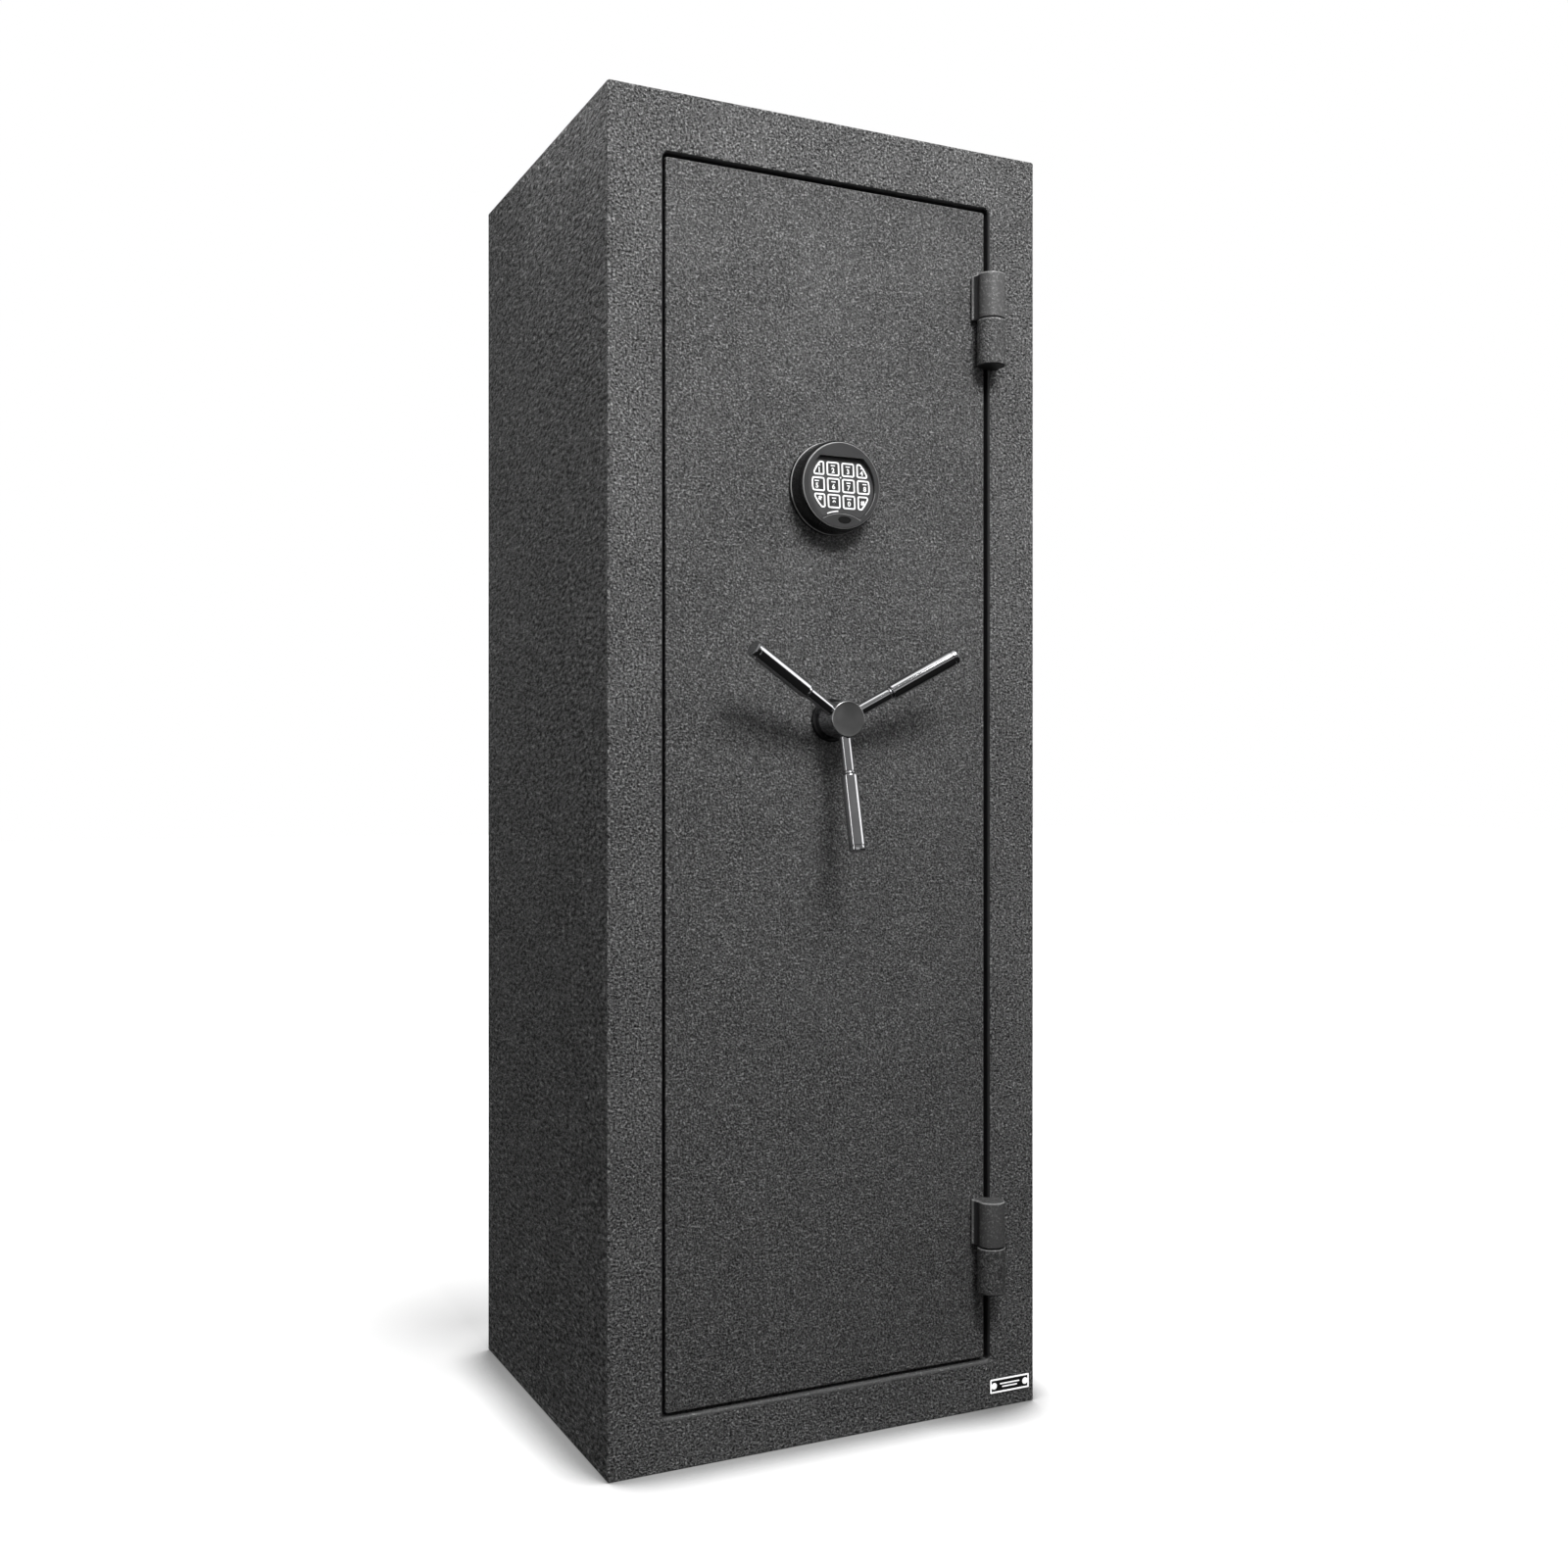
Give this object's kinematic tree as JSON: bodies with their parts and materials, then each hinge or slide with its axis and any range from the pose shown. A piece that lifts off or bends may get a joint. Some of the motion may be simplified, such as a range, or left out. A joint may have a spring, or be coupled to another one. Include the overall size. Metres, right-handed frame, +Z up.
{
  "type": "gun safe",
  "caption": "Upright steel gun safe with an inset door on outside hinges, a round keypad lock and a three-spoke handle that throws sliding bolts.",
  "frame": {"origin": "centre of the cabinet's underside", "axes": "+Z up, +Y towards the back, so the door faces -Y and is hinged on its +X side"},
  "size_m": [0.508, 0.4997, 1.397],
  "materials": {
    "charcoal_paint": "hammered charcoal powder coat on steel",
    "inner_paint": "satin black paint on sheet steel",
    "fire_board": "paper-faced gypsum board",
    "carpet": "charcoal needle-punch carpet on hardboard",
    "bright_steel": "zinc-plated and ground steel",
    "dark_chrome": "polished black chrome",
    "black_plastic": "semi-gloss black plastic",
    "key_rubber": "matt black silicone with white print",
    "brass": "plain machined brass",
    "seal_rubber": "matt black heat-swelling strip",
    "plate_print": "printed aluminium, white border on black"
  },
  "bodies": {
    "cabinet": {"body_wrap": "charcoal_paint", "top_plate": "charcoal_paint", "floor_plate": "charcoal_paint", "door_frame": "charcoal_paint", "door_seal": "seal_rubber", "fireboard_floor": "fire_board", "fireboard_top": "fire_board", "fireboard_left": "fire_board", "fireboard_right": "fire_board", "fireboard_back": "fire_board", "liner_floor": "carpet", "liner_shell": "carpet", "top_shelf": "carpet", "divider": "carpet", "side_shelf": "carpet", "barrel_rack": "carpet", "data_plate": "plate_print", "hinge_frame_knuckle_upper": "charcoal_paint", "hinge_frame_knuckle_lower": "charcoal_paint", "hinge_pin_upper": "bright_steel", "hinge_pin_lower": "bright_steel"},
    "door": {"hinge_door_knuckle_upper": "charcoal_paint", "hinge_door_knuckle_lower": "charcoal_paint", "door_plate": "charcoal_paint", "hard_plate": "bright_steel", "door_pan": "inner_paint", "door_fireboard": "fire_board", "inner_panel": "carpet", "dead_bar": "bright_steel", "bolt_guide": "bright_steel", "lock_case": "bright_steel", "handle_escutcheon": "black_plastic", "keypad_base": "black_plastic", "keypad_housing": "black_plastic", "keypad_panel": "key_rubber"},
    "handle": {"handle_hub": "dark_chrome", "spoke_lower": "dark_chrome", "spoke_right": "dark_chrome", "spoke_left": "dark_chrome", "spindle": "bright_steel"},
    "boltwork": {"carrier_bar": "bright_steel", "lock_tab": "bright_steel", "drive_arm": "bright_steel", "live_bolt_1": "bright_steel", "live_bolt_2": "bright_steel", "live_bolt_3": "bright_steel"},
    "lock_bolt": {"lock_bolt": "brass"},
    "battery_cover": {"battery_cover": "black_plastic"},
    "key_1": {"key_1": "key_rubber"},
    "key_2": {"key_2": "key_rubber"},
    "key_3": {"key_3": "key_rubber"},
    "key_4": {"key_4": "key_rubber"},
    "key_5": {"key_5": "key_rubber"},
    "key_6": {"key_6": "key_rubber"},
    "key_7": {"key_7": "key_rubber"},
    "key_8": {"key_8": "key_rubber"},
    "key_clear": {"key_clear": "key_rubber"},
    "key_9": {"key_9": "key_rubber"},
    "key_0": {"key_0": "key_rubber"},
    "key_enter": {"key_enter": "key_rubber"}
  },
  "joints": [
    {"name": "door_swing", "type": "hinge", "parent": "cabinet", "child": "door", "pos_m": [0.187, -0.232, 0.6965], "axis": [0, 0, 1], "range_deg": [0, 175]},
    {"name": "handle_turn", "type": "hinge", "parent": "door", "child": "handle", "pos_m": [-0.004, -0.2159, 0.763], "axis": [0, -1, 0], "range_deg": [0, 60]},
    {"name": "bolt_throw", "type": "slide", "parent": "door", "child": "boltwork", "axis": [-1, 0, 0], "range_m": [0, 0.032]},
    {"name": "lock_bolt_drop", "type": "slide", "parent": "door", "child": "lock_bolt", "axis": [0, 0, -1], "range_m": [0, 0.01]},
    {"name": "battery_cover_slide", "type": "slide", "parent": "door", "child": "battery_cover", "axis": [0, 0, -1], "range_m": [0, 0.02]},
    {"name": "press_1", "type": "slide", "parent": "door", "child": "key_1", "axis": [0, 0.9969, -0.0785], "range_m": [0, 0.0006], "stiffness_N_per_m": 600, "springref_m": -0.0008},
    {"name": "press_2", "type": "slide", "parent": "door", "child": "key_2", "axis": [0, 0.9969, -0.0785], "range_m": [0, 0.0006], "stiffness_N_per_m": 600, "springref_m": -0.0008},
    {"name": "press_3", "type": "slide", "parent": "door", "child": "key_3", "axis": [0, 0.9969, -0.0785], "range_m": [0, 0.0006], "stiffness_N_per_m": 600, "springref_m": -0.0008},
    {"name": "press_4", "type": "slide", "parent": "door", "child": "key_4", "axis": [0, 0.9969, -0.0785], "range_m": [0, 0.0006], "stiffness_N_per_m": 600, "springref_m": -0.0008},
    {"name": "press_5", "type": "slide", "parent": "door", "child": "key_5", "axis": [0, 0.9969, -0.0785], "range_m": [0, 0.0006], "stiffness_N_per_m": 600, "springref_m": -0.0008},
    {"name": "press_6", "type": "slide", "parent": "door", "child": "key_6", "axis": [0, 0.9969, -0.0785], "range_m": [0, 0.0006], "stiffness_N_per_m": 600, "springref_m": -0.0008},
    {"name": "press_7", "type": "slide", "parent": "door", "child": "key_7", "axis": [0, 0.9969, -0.0785], "range_m": [0, 0.0006], "stiffness_N_per_m": 600, "springref_m": -0.0008},
    {"name": "press_8", "type": "slide", "parent": "door", "child": "key_8", "axis": [0, 0.9969, -0.0785], "range_m": [0, 0.0006], "stiffness_N_per_m": 600, "springref_m": -0.0008},
    {"name": "press_clear", "type": "slide", "parent": "door", "child": "key_clear", "axis": [0, 0.9969, -0.0785], "range_m": [0, 0.0006], "stiffness_N_per_m": 600, "springref_m": -0.0008},
    {"name": "press_9", "type": "slide", "parent": "door", "child": "key_9", "axis": [0, 0.9969, -0.0785], "range_m": [0, 0.0006], "stiffness_N_per_m": 600, "springref_m": -0.0008},
    {"name": "press_0", "type": "slide", "parent": "door", "child": "key_0", "axis": [0, 0.9969, -0.0785], "range_m": [0, 0.0006], "stiffness_N_per_m": 600, "springref_m": -0.0008},
    {"name": "press_enter", "type": "slide", "parent": "door", "child": "key_enter", "axis": [0, 0.9969, -0.0785], "range_m": [0, 0.0006], "stiffness_N_per_m": 600, "springref_m": -0.0008}
  ],
  "couplings": [
    {"joint": "bolt_throw", "follows": "handle_turn", "m_per_rad": 0.03055}
  ]
}
